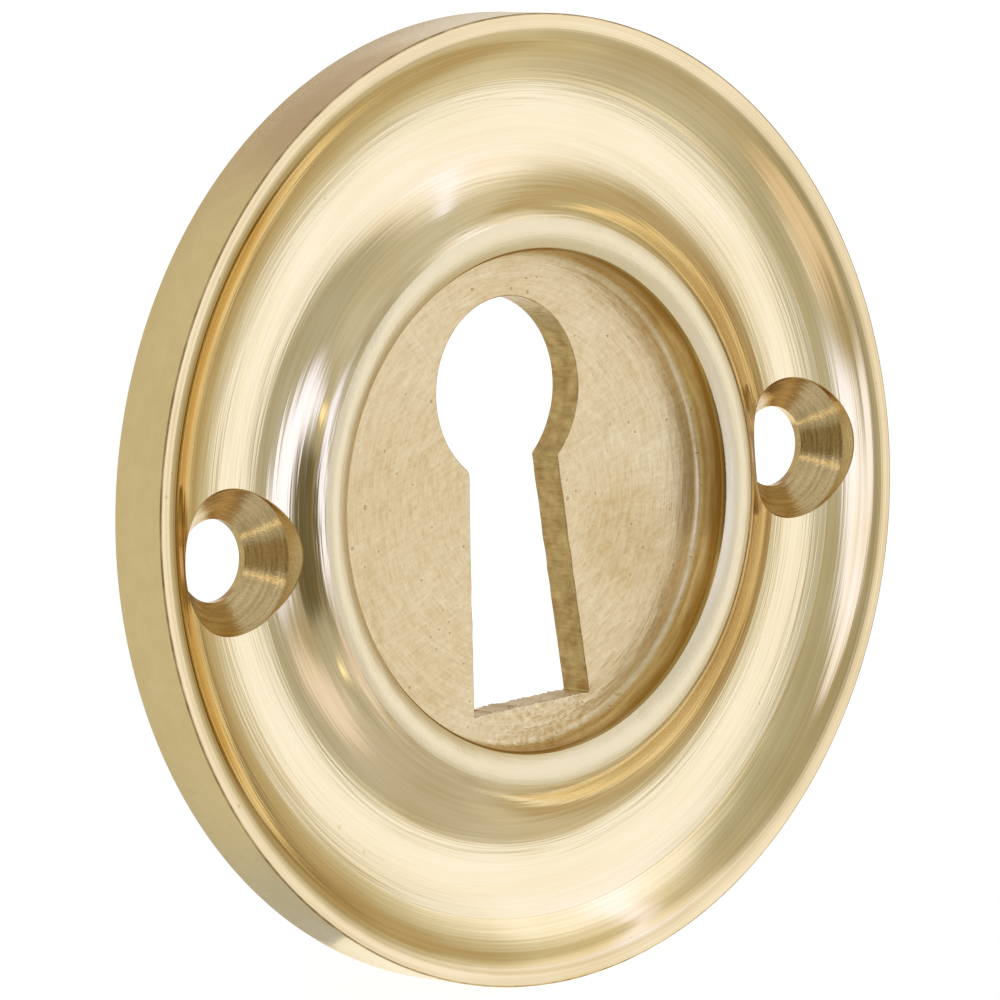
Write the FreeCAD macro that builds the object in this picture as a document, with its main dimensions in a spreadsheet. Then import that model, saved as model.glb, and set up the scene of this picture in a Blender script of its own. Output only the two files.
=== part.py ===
import FreeCAD, Part
import math
import os
import Sketcher
from FreeCAD import Vector

# Round keyhole escutcheon, turned from one piece of brass.
# The flat back lies on the plane y = 0 and the moulded front looks along -Y.
# +Z runs up the keyhole, and the origin is where the disc's axis meets the back.
# A height is measured from the back towards the front, so it is minus y.
# The section is set out from the keyhole: the recess clears the keyhole by a margin,
# and each moulding adds its own width outwards. Together they make a disc 45 mm across.

SIZES = [
    # The keyhole: a round bow over a slot that widens downwards
    ("keyhole_height", 19.12),
    ("keyhole_drop", 0.1),
    ("bow_diameter", 8.7),
    ("neck_round", 0.3),
    ("slot_foot_width", 7.13),
    ("slot_flare", 4.3),
    # The flat round recess that the keyhole stands in
    ("keyhole_margin", 1.98),
    ("recess_foot_fillet", 0.38),
    ("floor_thickness", 1.8),
    # The bead round the recess, rolled over into the recess wall
    ("bead_height", 3.74),
    ("bead_radius", 1.8),
    ("bead_inner_round", 0.4),
    ("bead_setback", 1.06),
    # The ogee flank that falls from the bead to the dished band
    ("flank_width", 3.38),
    ("flank_radius", 7.07),
    ("band_inner_height", 2.09),
    ("band_width", 3.46),
    ("band_dish_radius", 7.74),
    # The polished cove that rises from a small step to the lip
    ("step_depth", 0.04),
    ("cove_foot_height", 2.28),
    ("cove_width", 2.8),
    ("cove_radius", 5.6),
    # The softly crowned lip and the plain edge of the disc
    ("rim_height", 3.35),
    ("lip_inner_round", 2.0),
    ("lip_flat_width", 0.18),
    ("rim_outer_round", 0.08),
    ("back_chamfer", 0.15),
    # The two countersunk screw holes, which stand in the band a little below the disc's axis
    ("screw_inset", 1.38),
    ("screw_drop", 0.19),
    ("screw_bore", 3.8),
    ("screw_head_diameter", 6.62),
    ("screw_head_angle", 90.0),
    ("screw_seat_depth", 0.07),
    ("bore_back_chamfer", 0.2),
]

size = dict(SIZES)
doc = FreeCAD.newDocument("keyhole_escutcheon")
sheet = doc.addObject("Spreadsheet::Sheet", "sizes")
for row, (alias, value) in enumerate(SIZES, start=1):
    sheet.set("A%d" % row, alias)
    sheet.set("B%d" % row, str(value))
    sheet.setAlias("B%d" % row, alias)
doc.recompute()

# How a sketch numbers its own axes and the points of an edge
V_AXIS, H_AXIS = range(-2, 0)
START, END, CENTRE = range(1, 4)
ORIGIN = (H_AXIS, START)

# Lengths closer than this are taken as the same
SAME = 1e-6

# Places that more than one sketch uses, for the sheet and as numbers
WALL = "sizes.keyhole_height / 2 + sizes.keyhole_margin"
BAND_EDGE = WALL + " + sizes.bead_setback + sizes.flank_width"
SEAT = "sizes.band_inner_height - sizes.screw_seat_depth"
wall = size["keyhole_height"] / 2 + size["keyhole_margin"]
band_edge = wall + size["bead_setback"] + size["flank_width"]
seat = size["band_inner_height"] - size["screw_seat_depth"]


def plane_of(body, role):
    """Return the body's own origin plane with this role."""
    return next(item for item in body.Origin.OriginFeatures if item.Role == role)


def circles_meet(centre_a, radius_a, centre_b, radius_b, pick):
    """Return the crossing of two circles that comes first when sorted by pick."""
    gap = centre_b - centre_a
    along = (radius_a ** 2 - radius_b ** 2 + gap.Length ** 2) / (2 * gap.Length)
    half_chord = math.sqrt(radius_a ** 2 - along ** 2)
    unit = gap / gap.Length
    side = Vector(-unit.y, unit.x, 0)
    foot = centre_a + unit * along
    return sorted([foot + side * half_chord, foot - side * half_chord], key=pick)[0]


class Outline:
    """A closed outline in a sketch, drawn edge by edge and joined as it goes."""

    def __init__(self, sketch):
        self.sketch = sketch
        self.first = None
        self.last = None

    def link(self, index, begin, finish, smooth):
        """Join this edge's beginning to the end of the edge before it."""
        if self.last is None:
            self.first = (index, begin)
        else:
            kind = "Tangent" if smooth else "Coincident"
            self.sketch.addConstraint(Sketcher.Constraint(kind, *self.last, index, begin))
        self.last = (index, finish)
        return index

    def line(self, start, end, smooth=False):
        """Add a straight edge."""
        index = self.sketch.addGeometry(Part.LineSegment(start, end))
        return self.link(index, START, END, smooth)

    def arc(self, centre, start, end, clockwise, smooth=False):
        """Add an arc about centre; a sketch stores every arc anticlockwise."""
        circle = Part.Circle(centre, Vector(0, 0, 1), (start - centre).Length)
        low, high = (end, start) if clockwise else (start, end)
        angles = [math.atan2(p.y - centre.y, p.x - centre.x) for p in (low, high)]
        if angles[1] < angles[0]:
            angles[1] += 2 * math.pi
        index = self.sketch.addGeometry(Part.ArcOfCircle(circle, *angles))
        ends = (END, START) if clockwise else (START, END)
        return self.link(index, *ends, smooth)

    def close(self, smooth=False):
        """Join the last edge to the first."""
        kind = "Tangent" if smooth else "Coincident"
        self.sketch.addConstraint(Sketcher.Constraint(kind, *self.last, *self.first))


def bind(sketch, name, constraint, expression):
    """Add a dimension, name it and tie it to the sheet."""
    index = sketch.addConstraint(constraint)
    sketch.renameConstraint(index, name)
    sketch.setExpression("Constraints." + name, expression)


def across(sketch, name, left, right, value, expression):
    """Set how far one point lies to the right of another."""
    bind(sketch, name, Sketcher.Constraint("DistanceX", *left, *right, value), expression)


def below(sketch, name, point, value, expression):
    """Set how far a point lies below the origin."""
    bind(sketch, name, Sketcher.Constraint("DistanceY", *point, *ORIGIN, value), expression)


def above(sketch, name, point, value, expression):
    """Set how far a point lies above the origin."""
    bind(sketch, name, Sketcher.Constraint("DistanceY", *ORIGIN, *point, value), expression)


def radius(sketch, name, edge, value, expression):
    """Set the radius of an arc or a circle."""
    bind(sketch, name, Sketcher.Constraint("Radius", edge, value), expression)


def level(sketch, *edges):
    """Keep edges parallel to the sketch's X axis."""
    for edge in edges:
        sketch.addConstraint(Sketcher.Constraint("Horizontal", edge))


def upright(sketch, *edges):
    """Keep edges parallel to the sketch's Y axis."""
    for edge in edges:
        sketch.addConstraint(Sketcher.Constraint("Vertical", edge))


def draw_section(sketch):
    """Draw half of the turned section: X is the radius, and -Y is the height."""
    floor = size["floor_thickness"]
    fillet = size["recess_foot_fillet"]
    roll = size["bead_inner_round"]
    bead = size["bead_radius"]
    flank = size["flank_radius"]
    dish = size["band_dish_radius"]
    cove = size["cove_radius"]
    lip = size["lip_inner_round"]
    rim = size["rim_height"]
    flat = size["lip_flat_width"]
    corner = size["rim_outer_round"]
    chamfer = size["back_chamfer"]

    # Centres of the arcs from the recess outwards, each found from what it touches
    fillet_centre = Vector(wall - fillet, -floor - fillet, 0)
    bead_centre = Vector(wall + size["bead_setback"], bead - size["bead_height"], 0)
    roll_side = roll - size["bead_setback"]
    roll_rise = math.sqrt((bead - roll) ** 2 - roll_side ** 2)
    roll_centre = bead_centre + Vector(roll_side, -roll_rise, 0)
    band_end = Vector(band_edge, -size["band_inner_height"], 0)
    flank_centre = circles_meet(bead_centre, bead + flank, band_end, flank, lambda p: p.y)
    cove_foot = Vector(band_edge + size["band_width"], -size["cove_foot_height"], 0)
    band_start = cove_foot + Vector(0, size["step_depth"], 0)
    band_centre = circles_meet(band_start, dish, band_end, dish, lambda p: p.y)
    lip_centre = Vector(cove_foot.x + size["cove_width"], lip - rim, 0)
    cove_centre = circles_meet(lip_centre, lip + cove, cove_foot, cove, lambda p: p.y)
    corner_centre = Vector(lip_centre.x + flat, corner - rim, 0)
    outer = corner_centre.x + corner

    # Points where the smooth joints lie
    roll_top = bead_centre + (roll_centre - bead_centre) * (bead / (bead - roll))
    flank_top = bead_centre + (flank_centre - bead_centre) * (bead / (bead + flank))
    cove_top = lip_centre + (cove_centre - lip_centre) * (lip / (lip + cove))

    loop = Outline(sketch)
    back = loop.line(Vector(0, 0, 0), Vector(outer - chamfer, 0, 0))
    edge = loop.line(Vector(outer - chamfer, 0, 0), Vector(outer, -chamfer, 0))
    side = loop.line(Vector(outer, -chamfer, 0), Vector(outer, corner_centre.y, 0))
    corner_arc = loop.arc(corner_centre, Vector(outer, corner_centre.y, 0),
                          Vector(corner_centre.x, -rim, 0), True, smooth=True)
    crest = loop.line(Vector(corner_centre.x, -rim, 0), Vector(lip_centre.x, -rim, 0), smooth=True)
    lip_arc = loop.arc(lip_centre, Vector(lip_centre.x, -rim, 0), cove_top, True, smooth=True)
    cove_arc = loop.arc(cove_centre, cove_top, cove_foot, False, smooth=True)
    step = loop.line(cove_foot, band_start)
    band_arc = loop.arc(band_centre, band_start, band_end, False)
    flank_arc = loop.arc(flank_centre, band_end, flank_top, False)
    bead_arc = loop.arc(bead_centre, flank_top, roll_top, True, smooth=True)
    roll_arc = loop.arc(roll_centre, roll_top, Vector(wall, roll_centre.y, 0), True, smooth=True)
    recess = loop.line(Vector(wall, roll_centre.y, 0), Vector(wall, fillet_centre.y, 0), smooth=True)
    fillet_arc = loop.arc(fillet_centre, Vector(wall, fillet_centre.y, 0),
                          Vector(fillet_centre.x, -floor, 0), False, smooth=True)
    ground = loop.line(Vector(fillet_centre.x, -floor, 0), Vector(0, -floor, 0), smooth=True)
    axis = loop.line(Vector(0, -floor, 0), Vector(0, 0, 0))
    loop.close()

    sketch.addConstraint(Sketcher.Constraint("Coincident", back, START, *ORIGIN))
    level(sketch, back, crest, ground)
    upright(sketch, side, step, recess, axis)

    # Widths, each from the place before it
    across(sketch, "wall", ORIGIN, (recess, END), wall, WALL)
    across(sketch, "bead_place", (recess, END), (bead_arc, CENTRE), size["bead_setback"],
           "sizes.bead_setback")
    across(sketch, "flank_wide", (bead_arc, CENTRE), (flank_arc, START), size["flank_width"],
           "sizes.flank_width")
    across(sketch, "band_wide", (flank_arc, START), (step, END), size["band_width"],
           "sizes.band_width")
    across(sketch, "cove_wide", (step, START), (lip_arc, CENTRE), size["cove_width"],
           "sizes.cove_width")
    across(sketch, "crest_wide", (crest, END), (crest, START), flat, "sizes.lip_flat_width")
    across(sketch, "chamfer_wide", (back, END), (edge, END), chamfer, "sizes.back_chamfer")

    # Heights above the back
    below(sketch, "floor", (axis, START), floor, "sizes.floor_thickness")
    below(sketch, "bead_up", (bead_arc, CENTRE), -bead_centre.y,
          "sizes.bead_height - sizes.bead_radius")
    below(sketch, "band_in_up", (flank_arc, START), -band_end.y, "sizes.band_inner_height")
    below(sketch, "band_out_up", (step, END), -band_start.y,
          "sizes.cove_foot_height - sizes.step_depth")
    below(sketch, "foot_up", (step, START), -cove_foot.y, "sizes.cove_foot_height")
    below(sketch, "rim", (crest, START), rim, "sizes.rim_height")
    below(sketch, "chamfer_up", (edge, END), chamfer, "sizes.back_chamfer")

    radius(sketch, "fillet", fillet_arc, fillet, "sizes.recess_foot_fillet")
    radius(sketch, "roll", roll_arc, roll, "sizes.bead_inner_round")
    radius(sketch, "bead", bead_arc, bead, "sizes.bead_radius")
    radius(sketch, "flank", flank_arc, flank, "sizes.flank_radius")
    radius(sketch, "band", band_arc, dish, "sizes.band_dish_radius")
    radius(sketch, "cove", cove_arc, cove, "sizes.cove_radius")
    radius(sketch, "lip", lip_arc, lip, "sizes.lip_inner_round")
    radius(sketch, "corner", corner_arc, corner, "sizes.rim_outer_round")


def draw_keyhole(sketch):
    """Draw the keyhole: a bow, two rounded necks and a slot that flares to its foot."""
    bow = size["bow_diameter"] / 2
    neck = size["neck_round"]
    foot = size["slot_foot_width"] / 2
    flare = math.radians(size["slot_flare"])
    depth = size["keyhole_height"] / 2 + size["keyhole_drop"]
    bow_centre = Vector(0, size["keyhole_height"] / 2 - size["keyhole_drop"] - bow, 0)
    foot_right = Vector(foot, -depth, 0)
    up_slot = Vector(-math.sin(flare), math.cos(flare), 0)
    out_of_slot = Vector(math.cos(flare), math.sin(flare), 0)

    # The neck's round lies in the metal, against the slot's side and the bow
    rail = foot_right + out_of_slot * neck - bow_centre
    drop = rail.dot(up_slot)
    travel = -drop - math.sqrt(drop ** 2 - rail.dot(rail) + (bow + neck) ** 2)
    neck_centre = bow_centre + rail + up_slot * travel
    slot_top = neck_centre - out_of_slot * neck
    bow_end = bow_centre + (neck_centre - bow_centre) * (bow / (bow + neck))

    def mirrored(point):
        return Vector(-point.x, point.y, 0)

    loop = Outline(sketch)
    base = loop.line(mirrored(foot_right), foot_right)
    right = loop.line(foot_right, slot_top)
    right_neck = loop.arc(neck_centre, slot_top, bow_end, True, smooth=True)
    bow_arc = loop.arc(bow_centre, bow_end, mirrored(bow_end), False, smooth=True)
    left_neck = loop.arc(mirrored(neck_centre), mirrored(bow_end), mirrored(slot_top), True, smooth=True)
    left = loop.line(mirrored(slot_top), mirrored(foot_right), smooth=True)
    loop.close()

    sketch.addConstraint(Sketcher.Constraint("PointOnObject", bow_arc, CENTRE, V_AXIS))
    sketch.addConstraint(Sketcher.Constraint("Symmetric", base, START, base, END, V_AXIS))
    sketch.addConstraint(Sketcher.Constraint("Equal", right_neck, left_neck))
    sketch.addConstraint(Sketcher.Constraint("Equal", right, left))
    radius(sketch, "bow", bow_arc, bow, "sizes.bow_diameter / 2")
    above(sketch, "bow_place", (bow_arc, CENTRE), bow_centre.y,
          "sizes.keyhole_height / 2 - sizes.keyhole_drop - sizes.bow_diameter / 2")
    radius(sketch, "neck", right_neck, neck, "sizes.neck_round")
    across(sketch, "foot", ORIGIN, (base, END), foot, "sizes.slot_foot_width / 2")
    below(sketch, "foot_place", (base, END), depth, "sizes.keyhole_height / 2 + sizes.keyhole_drop")
    slope = Sketcher.Constraint("Angle", right, math.pi / 2 + flare)
    bind(sketch, "flare", slope, "(90 + sizes.slot_flare) * 1 deg")


def draw_screw_heads(sketch):
    """Draw the two screw-head circles on the plane of their seats."""
    head = size["screw_head_diameter"] / 2
    reach = band_edge + size["screw_inset"]
    drop = size["screw_drop"]
    right, left = [
        sketch.addGeometry(Part.Circle(Vector(side * reach, -drop, 0), Vector(0, 0, 1), head))
        for side in (1, -1)
    ]
    sketch.addConstraint(Sketcher.Constraint("Equal", right, left))
    sketch.addConstraint(Sketcher.Constraint("Symmetric", left, CENTRE, right, CENTRE, V_AXIS))
    radius(sketch, "head", right, head, "sizes.screw_head_diameter / 2")
    across(sketch, "reach", ORIGIN, (right, CENTRE), reach, BAND_EDGE + " + sizes.screw_inset")
    below(sketch, "drop", (right, CENTRE), drop, "sizes.screw_drop")


def new_sketch(body, name, role, draw):
    """Make a sketch on one of the body's own planes and draw in it."""
    sketch = body.newObject("Sketcher::SketchObject", name)
    sketch.AttachmentSupport = [(plane_of(body, role), "")]
    sketch.MapMode = "FlatFace"
    draw(sketch)
    doc.recompute()
    return sketch


def must_shrink(feature, before):
    """Stop if a cut took nothing away."""
    if not feature.Shape.Volume < before:
        raise RuntimeError(feature.Name + " cuts nothing")


def cut_through(body, name, profile, before):
    """Cut a profile from its own plane out through the front."""
    pocket = body.newObject("PartDesign::Pocket", name)
    pocket.Profile = profile
    pocket.Type = "ThroughAll"
    pocket.Reversed = True
    doc.recompute()
    must_shrink(pocket, before.Shape.Volume)
    return pocket


def back_rims(shape, rim_radius):
    """Name the shape's round edges of this radius that lie on the back."""
    names = []
    for number, edge in enumerate(shape.Edges, start=1):
        if not isinstance(edge.Curve, Part.Circle):
            continue
        gaps = (edge.Curve.Center.y, edge.Curve.Radius - rim_radius)
        if max(map(abs, gaps)) < SAME:
            names.append("Edge%d" % number)
    return names


def build_escutcheon():
    """Turn the disc, then cut the keyhole and the two screw holes."""
    body = doc.addObject("PartDesign::Body", "keyhole_escutcheon")
    body.Label = "keyhole_escutcheon"
    body.Placement = FreeCAD.Placement()

    section = new_sketch(body, "turned_section", "XY_Plane", draw_section)
    disc = body.newObject("PartDesign::Revolution", "turned_disc")
    disc.Profile = section
    disc.ReferenceAxis = (section, ["V_Axis"])
    disc.Angle = 360
    doc.recompute()

    outline = new_sketch(body, "keyhole_outline", "XZ_Plane", draw_keyhole)
    keyhole = cut_through(body, "keyhole", outline, disc)

    # The heads' plane stands at the seats, and the space above it is cleared
    heads = new_sketch(body, "screw_heads", "XZ_Plane", draw_screw_heads)
    heads.AttachmentOffset = FreeCAD.Placement(Vector(0, 0, seat), FreeCAD.Rotation())
    heads.setExpression("AttachmentOffset.Base.z", SEAT)
    doc.recompute()
    clearance = cut_through(body, "screw_head_clearance", heads, keyhole)

    holes = body.newObject("PartDesign::Hole", "screw_holes")
    holes.Profile = heads
    doc.recompute()
    holes.DepthType = "ThroughAll"
    holes.HoleCutType = "Countersink"
    holes.HoleCutCustomValues = True
    holes.setExpression("Diameter", "sizes.screw_bore")
    holes.setExpression("HoleCutDiameter", "sizes.screw_head_diameter")
    holes.setExpression("HoleCutCountersinkAngle", "sizes.screw_head_angle")
    doc.recompute()
    must_shrink(holes, clearance.Shape.Volume)

    # The sharp edge that the drill leaves at the back is taken off
    backs = body.newObject("PartDesign::Chamfer", "bore_backs")
    backs.Base = (holes, back_rims(holes.Shape, size["screw_bore"] / 2))
    backs.setExpression("Size", "sizes.bore_back_chamfer")
    doc.recompute()
    must_shrink(backs, holes.Shape.Volume)
    body.Tip = backs
    return body


bodies = [build_escutcheon()]
doc.recompute()

for item in doc.Objects:
    if "Invalid" in item.State or "Error" in item.State:
        raise RuntimeError("%s did not build: %s" % (item.Name, item.State))
for body in bodies:
    if body.Shape.isNull() or not body.Shape.isValid():
        raise RuntimeError(body.Label + " has no valid shape")

os.makedirs("parts", exist_ok=True)
for body in bodies:
    body.Shape.exportStep(os.path.join("parts", body.Label + ".step"))
    print("%s: %.1f mm3" % (body.Label, body.Shape.Volume))
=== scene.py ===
import math

import bpy
import numpy as np
from mathutils import Matrix, Vector
from mathutils.geometry import delaunay_2d_cdt


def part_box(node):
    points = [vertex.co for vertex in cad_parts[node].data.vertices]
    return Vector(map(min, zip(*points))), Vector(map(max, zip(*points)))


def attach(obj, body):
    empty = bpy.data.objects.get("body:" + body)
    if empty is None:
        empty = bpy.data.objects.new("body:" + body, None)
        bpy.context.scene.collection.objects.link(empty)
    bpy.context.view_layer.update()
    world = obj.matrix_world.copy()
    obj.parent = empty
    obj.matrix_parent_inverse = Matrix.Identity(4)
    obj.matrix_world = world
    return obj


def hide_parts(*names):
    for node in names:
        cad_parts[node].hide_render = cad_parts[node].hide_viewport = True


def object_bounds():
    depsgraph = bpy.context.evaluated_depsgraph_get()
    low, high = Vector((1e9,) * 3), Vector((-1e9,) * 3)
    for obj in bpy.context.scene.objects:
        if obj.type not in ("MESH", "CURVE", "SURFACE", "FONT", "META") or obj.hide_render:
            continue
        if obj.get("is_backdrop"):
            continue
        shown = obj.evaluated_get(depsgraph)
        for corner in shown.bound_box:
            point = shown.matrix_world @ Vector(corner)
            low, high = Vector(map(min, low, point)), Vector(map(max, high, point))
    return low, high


# Round keyhole escutcheon turned from brass, standing on its edge.
# Lengths are in millimetres, and MM turns them into the frame's metres.
# The flat back lies on y = 0, the moulded front looks along -Y, and +Z runs up the keyhole.
# A height is measured from the back towards the front.

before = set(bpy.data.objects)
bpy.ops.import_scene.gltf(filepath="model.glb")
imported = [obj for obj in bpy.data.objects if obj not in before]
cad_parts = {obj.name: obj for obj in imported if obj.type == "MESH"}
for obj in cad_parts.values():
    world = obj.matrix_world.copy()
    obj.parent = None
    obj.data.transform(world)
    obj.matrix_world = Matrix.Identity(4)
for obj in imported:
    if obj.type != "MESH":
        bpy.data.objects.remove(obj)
cad_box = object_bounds()

MM = 0.001
NODE = "keyhole_escutcheon"

# The keyhole
KEYHOLE_HEIGHT = 19.12
KEYHOLE_DROP = 0.1
BOW_RADIUS = 4.35
NECK_ROUND = 0.3
SLOT_FOOT_WIDTH = 7.13
SLOT_FLARE = math.radians(4.3)
SLOT_CORNER = 0.12

# The turned section, from the recess outwards. The bead's and the flank's arcs are set by what they
# mirror, and lie within 0.08 mm of the solid's. A finish changes where the bead's and the lip's rounds
# reach these slopes.
KEYHOLE_MARGIN = 1.98
RECESS_FILLET = 0.38
FLOOR_HEIGHT = 1.8
BEAD_HEIGHT = 3.74
BEAD_RADIUS = 1.55
BEAD_ROLL = 0.4
BEAD_SETBACK = 1.06
BUFFED_SLOPE = math.radians(19)
FLANK_WIDTH = 3.38
FLANK_RADIUS = 5.0
BAND_INNER_HEIGHT = 2.09
BAND_WIDTH = 3.46
BAND_RADIUS = 7.74
STEP_DEPTH = 0.04
COVE_FOOT_HEIGHT = 2.28
COVE_WIDTH = 2.8
COVE_RADIUS = 5.6
RIM_HEIGHT = 3.35
LIP_ROUND = 2.0
LIP_FLAT = 0.18
RUBBED_SLOPE = math.radians(20)
RIM_ROUND = 0.08
BACK_CHAMFER = 0.15

# The screw holes
SCREW_REACH = 17.36
SCREW_DROP = 0.19
BORE_RADIUS = 1.9
HEAD_RADIUS = 3.31
SEAT_HEIGHT = 2.02
BORE_CHAMFER = 0.2

# How far the cut edges are worn round, and how rough the file left the keyhole's edge
KEYHOLE_EDGE = 0.05
SAW_MARK = 0.035
FOOT_BURR = 0.06
HOLE_EDGE = 0.05

# Worked out: distances from the axis of the recess's wall and of the band's inner edge, and a screw
# hole's place in polar form with the radius of its rim
WALL_RADIUS = KEYHOLE_HEIGHT / 2 + KEYHOLE_MARGIN
BAND_EDGE = WALL_RADIUS + BEAD_SETBACK + FLANK_WIDTH
HOLE_POLAR = math.hypot(SCREW_REACH, SCREW_DROP)
HOLE_TURN = math.atan2(-SCREW_DROP, SCREW_REACH)
HOLE_RIM = HEAD_RADIUS + HOLE_EDGE

# Rows of the turned section: the longest step between them, the widest turn in radians and the fewest
# in an arc. Rows nearer to a run's end than the gap are left out
ROW_STEP = 0.16
ROW_TURN = 0.12
ARC_ROWS = 5
ROW_GAP = 1e-4

# Columns from one screw hole to the other, and rows across a screw hole
HALF_COLUMNS = 280
HOLE_ROWS = 60

# Rows down the screw holes and the keyhole, and columns along half of the keyhole's outline
CLEARANCE_ROWS = 7
CONE_ROWS = 17
BORE_ROWS = 5
KEYHOLE_ROWS = 13
FOOT_COLUMNS = 40
CORNER_COLUMNS = 6
SLOT_COLUMNS = 96
NECK_COLUMNS = 8
BOW_COLUMNS = 96

# The stages of a worn edge, from the face round into the wall
WORN_BEND = np.linspace(0, math.pi / 2, 5)

# How far apart two rows on one radius are held, how near to each other points of a flat face may lie,
# and to how many digits points have to agree to be welded
HAIR = 1e-8
FLAT_GAP = 1e-7
WELD_DIGITS = 5

# The runs of the section that reach over a screw hole
HOLED_RUNS = ("bead", "shoulder", "flank", "band", "cove")

# The keyhole's rough edge: the seed of its noise, over how many points the broad noise is smoothed,
# where the burr fades out at the ends of the foot, and the height and half length of the sawn stretch
ROUGH_SEED = 4
BROAD_POINTS = 13
BURR_END = 0.2
BURR_FADE = 0.3
SAWN_HEIGHT = -3
SAWN_REACH = 4


# Shapes


def circles_meet(centre_a, radius_a, centre_b, radius_b):
    """Return the higher crossing of two circles."""
    gap = centre_b - centre_a
    length = np.hypot(*gap)
    along = (radius_a ** 2 - radius_b ** 2 + length ** 2) / (2 * length)
    half_chord = math.sqrt(radius_a ** 2 - along ** 2)
    unit = gap / length
    side = np.array([-unit[1], unit[0]]) * half_chord
    foot = centre_a + unit * along
    return max(foot + side, foot - side, key=lambda point: point[1])


def arc_rows(centre, start, end, hollow, radii=None, count=None):
    """Sample an arc.

    Point = centre + R (cos a, sin a), with a stepped evenly from start to end, or chosen so that
    the points fall on the given radii. The normal points away from the centre, or at it if hollow.
    """
    spokes = np.array([start, end]) - centre
    reach = np.hypot(*spokes[0])
    first, last = np.arctan2(spokes[:, 1], spokes[:, 0])
    last -= 2 * math.pi * round((last - first) / (2 * math.pi))
    if radii is None:
        turn = abs(last - first)
        count = count or max(ARC_ROWS, math.ceil(turn * reach / ROW_STEP), math.ceil(turn / ROW_TURN))
        angles = np.linspace(first, last, count + 1)
    else:
        lean = np.arccos(np.clip((radii - centre[0]) / reach, -1, 1))
        angles = np.where(math.sin((first + last) / 2) < 0, -lean, lean)
    spoke = np.stack([np.cos(angles), np.sin(angles)], axis=1)
    return centre + reach * spoke, -spoke if hollow else spoke


def line_rows(start, end, normal, count=1):
    """Sample a straight run: start + (end - start) t, with t even from 0 to 1."""
    share = np.linspace(0, 1, count + 1)[:, None]
    return start + (np.array(end) - start) * share, np.tile(np.array(normal, float), (count + 1, 1))


def hole_radii():
    """Distances from the disc's axis of points evenly spaced round a screw hole's rim.

    The edges of the band are among them: its outer one twice, for the foot and the top of its step.
    """
    angles = np.linspace(0, math.pi, HOLE_ROWS + 1)
    radii = np.sqrt(HOLE_POLAR ** 2 + HOLE_RIM ** 2 - 2 * HOLE_POLAR * HOLE_RIM * np.cos(angles))
    outer = BAND_EDGE + BAND_WIDTH
    return np.sort(np.concatenate([radii, [BAND_EDGE, outer - HAIR, outer + HAIR]]))


def rows_between(low, high):
    """Radii for a run of the section: the screw hole's own where it cuts the run, else even steps."""
    holed = hole_radii()
    edges = [low] + [r for r in (holed[0], holed[-1]) if low < r < high] + [high]
    rows = [[low]]
    for begin, finish in zip(edges[:-1], edges[1:]):
        if holed[0] < (begin + finish) / 2 < holed[-1]:
            rows.append(holed[(holed > begin + ROW_GAP) & (holed < finish - ROW_GAP)])
            rows.append([finish])
        else:
            count = max(2, math.ceil((finish - begin) / ROW_STEP))
            rows.append(np.linspace(begin, finish, count + 1)[1:])
    return np.concatenate(rows)


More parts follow.
